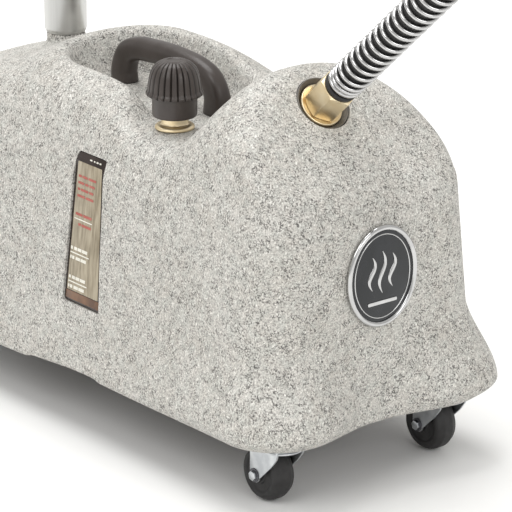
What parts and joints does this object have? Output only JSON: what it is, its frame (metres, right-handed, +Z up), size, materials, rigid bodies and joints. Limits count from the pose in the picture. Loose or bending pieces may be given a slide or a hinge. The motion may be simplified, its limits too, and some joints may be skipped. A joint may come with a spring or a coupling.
{
  "type": "commercial garment steamer",
  "caption": "Rolling upright steam cleaner for garments: speckled moulded housing on swivel casters, water tank and boiler inside, hanging pole, carry handle and a steam hose with a hand head.",
  "frame": {"origin": "on the floor under the middle of the housing", "axes": "+Z up along the pole, front with the badge and hose outlet towards -Y, +X to the right of someone behind it, so the sight window is on the -X wall"},
  "size_m": [0.3116, 0.697, 1.7673],
  "materials": {
    "housing_speckle": "moulded light grey resin with fine dark and white fibre specks, satin",
    "dark_plastic": "charcoal brown moulded plastic, satin",
    "rocker_plastic": "black moulded plastic, semi-gloss",
    "window_plastic": "brown tinted clear plastic",
    "scale_card": "tan translucent level scale",
    "tank_plastic": "natural translucent polyethylene",
    "brass": "turned brass, lightly polished",
    "black_rubber": "black rubber, matte",
    "spring_chrome": "bright plated spring wire",
    "pole_aluminium": "satin drawn tube",
    "plain_steel": "plain steel",
    "zinc": "bright zinc plate",
    "wheel_rubber": "black hard rubber wheel, satin",
    "grip_wood": "oiled hardwood grip",
    "badge_enamel": "dark enamel plate with a bright rim",
    "lamp_red": "clear red lamp lens"
  },
  "bodies": {
    "housing": {"housing_shell": "housing_speckle", "carry_handle": "dark_plastic", "pole_coupling": "dark_plastic", "pole_cap": "dark_plastic", "head_cradle": "dark_plastic", "switch_bezel": "dark_plastic", "cord_gland": "dark_plastic", "base_pan": "dark_plastic", "thermostat": "dark_plastic", "sight_window": "window_plastic", "level_scale": "scale_card", "water_tank": "tank_plastic", "filler_neck": "brass", "outlet_collar": "brass", "hose_nut": "brass", "boiler_lid": "brass", "steam_tube": "brass", "feed_tube": "brass", "hose_grommet": "black_rubber", "hose_ferrule": "black_rubber", "steam_hose": "black_rubber", "hose_guard": "spring_chrome", "hanger_hook": "spring_chrome", "pole_lower": "pole_aluminium", "pole_upper": "pole_aluminium", "pole_spigot": "plain_steel", "handle_screw_front": "plain_steel", "handle_screw_rear": "plain_steel", "boiler_body": "plain_steel", "boiler_bracket": "plain_steel", "bracket_screw_left": "plain_steel", "bracket_screw_right": "plain_steel", "heating_element": "plain_steel", "front_left_plate": "zinc", "front_right_plate": "zinc", "rear_left_plate": "zinc", "rear_right_plate": "zinc", "badge_plate": "badge_enamel", "indicator_lamp": "lamp_red"},
    "cap_seal": {"cap_seal": "black_rubber"},
    "filler_cap": {"filler_cap": "dark_plastic"},
    "power_switch": {"switch_rocker": "rocker_plastic"},
    "steam_head": {"steam_head": "pole_aluminium", "head_handle": "grip_wood", "head_ferrule": "brass"},
    "front_left_swivel": {"front_left_fork": "zinc", "front_left_axle": "zinc"},
    "front_left_wheel": {"front_left_wheel": "wheel_rubber"},
    "front_right_swivel": {"front_right_fork": "zinc", "front_right_axle": "zinc"},
    "front_right_wheel": {"front_right_wheel": "wheel_rubber"},
    "rear_left_swivel": {"rear_left_fork": "zinc", "rear_left_axle": "zinc"},
    "rear_left_wheel": {"rear_left_wheel": "wheel_rubber"},
    "rear_right_swivel": {"rear_right_fork": "zinc", "rear_right_axle": "zinc"},
    "rear_right_wheel": {"rear_right_wheel": "wheel_rubber"}
  },
  "joints": [
    {"name": "cap_lift", "type": "slide", "parent": "housing", "child": "cap_seal", "axis": [0, 0, 1], "range_m": [0, 0.04]},
    {"name": "cap_turn", "type": "hinge", "parent": "cap_seal", "child": "filler_cap", "pos_m": [-0.051, -0.0615, 0.25], "axis": [0, 0, 1], "range_deg": [0, 540]},
    {"name": "switch_rock", "type": "hinge", "parent": "housing", "child": "power_switch", "pos_m": [0, 0.2205, 0.125], "axis": [1, 0, 0], "range_deg": [0, 16]},
    {"name": "head_lift", "type": "slide", "parent": "housing", "child": "steam_head", "axis": [0, 0, 1], "range_m": [0, 0.04]},
    {"name": "front_left_swivel_turn", "type": "hinge", "parent": "housing", "child": "front_left_swivel", "pos_m": [-0.074, -0.2095, 0.045], "axis": [0, 0, 1], "continuous": true},
    {"name": "front_left_roll", "type": "hinge", "parent": "front_left_swivel", "child": "front_left_wheel", "pos_m": [-0.074, -0.1955, 0.02], "axis": [1, 0, 0], "continuous": true},
    {"name": "front_right_swivel_turn", "type": "hinge", "parent": "housing", "child": "front_right_swivel", "pos_m": [0.074, -0.2095, 0.045], "axis": [0, 0, 1], "continuous": true},
    {"name": "front_right_roll", "type": "hinge", "parent": "front_right_swivel", "child": "front_right_wheel", "pos_m": [0.074, -0.1955, 0.02], "axis": [1, 0, 0], "continuous": true},
    {"name": "rear_left_swivel_turn", "type": "hinge", "parent": "housing", "child": "rear_left_swivel", "pos_m": [-0.074, 0.19, 0.045], "axis": [0, 0, 1], "continuous": true},
    {"name": "rear_left_roll", "type": "hinge", "parent": "rear_left_swivel", "child": "rear_left_wheel", "pos_m": [-0.074, 0.204, 0.02], "axis": [1, 0, 0], "continuous": true},
    {"name": "rear_right_swivel_turn", "type": "hinge", "parent": "housing", "child": "rear_right_swivel", "pos_m": [0.074, 0.19, 0.045], "axis": [0, 0, 1], "continuous": true},
    {"name": "rear_right_roll", "type": "hinge", "parent": "rear_right_swivel", "child": "rear_right_wheel", "pos_m": [0.074, 0.204, 0.02], "axis": [1, 0, 0], "continuous": true}
  ]
}
